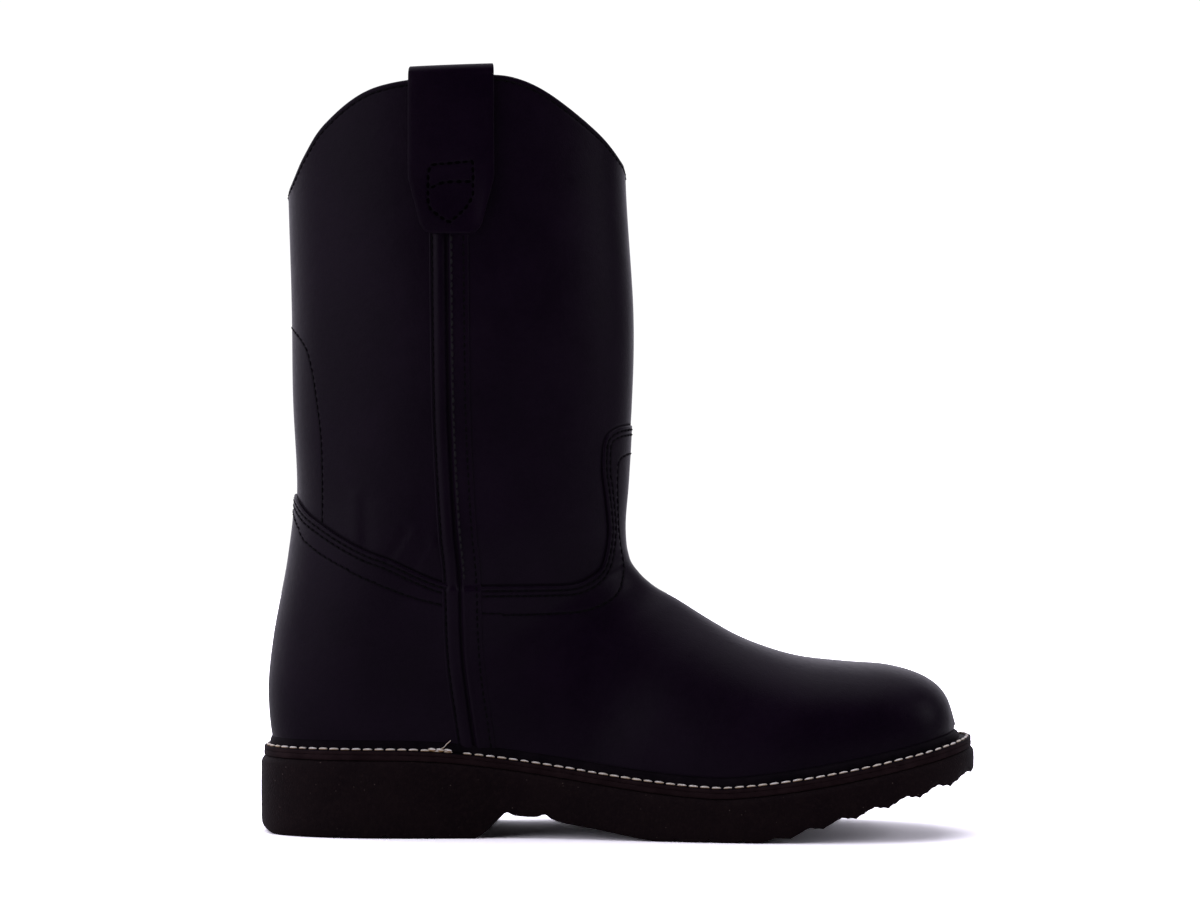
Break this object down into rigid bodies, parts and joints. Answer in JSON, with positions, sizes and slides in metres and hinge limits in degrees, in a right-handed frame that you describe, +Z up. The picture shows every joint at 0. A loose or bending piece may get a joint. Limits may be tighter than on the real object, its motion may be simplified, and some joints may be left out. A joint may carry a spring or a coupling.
{
  "type": "boot",
  "caption": "Left pull-on work boot with a tall shaft, side pull straps, storm welt and a one-piece wedge outsole with heel and lugs.",
  "frame": {"origin": "on the floor, under the middle of the boot's box in X and Y", "axes": "+X from heel to toe, +Y to the outer side of the left foot, +Z up the shaft"},
  "size_m": [0.3054, 0.1126, 0.3249],
  "materials": {
    "black_leather": "smooth full-grain leather with a soft semi-matte polish",
    "welt_leather": "polished black storm welt with a brown dressed edge and white lockstitch",
    "midsole_leather": "brown dressed edge, worn and slightly uneven",
    "insole_leather": "matte tan footbed",
    "blown_rubber": "matte dark brown foamed rubber with fine pores"
  },
  "bodies": {
    "root": {"outsole": "blown_rubber", "midsole": "midsole_leather", "welt": "welt_leather", "insole": "insole_leather", "upper": "black_leather", "vamp": "black_leather", "counter": "black_leather", "side_seam_medial": "black_leather", "side_seam_lateral": "black_leather", "pull_strap_medial": "black_leather", "pull_strap_lateral": "black_leather"}
  },
  "joints": []
}
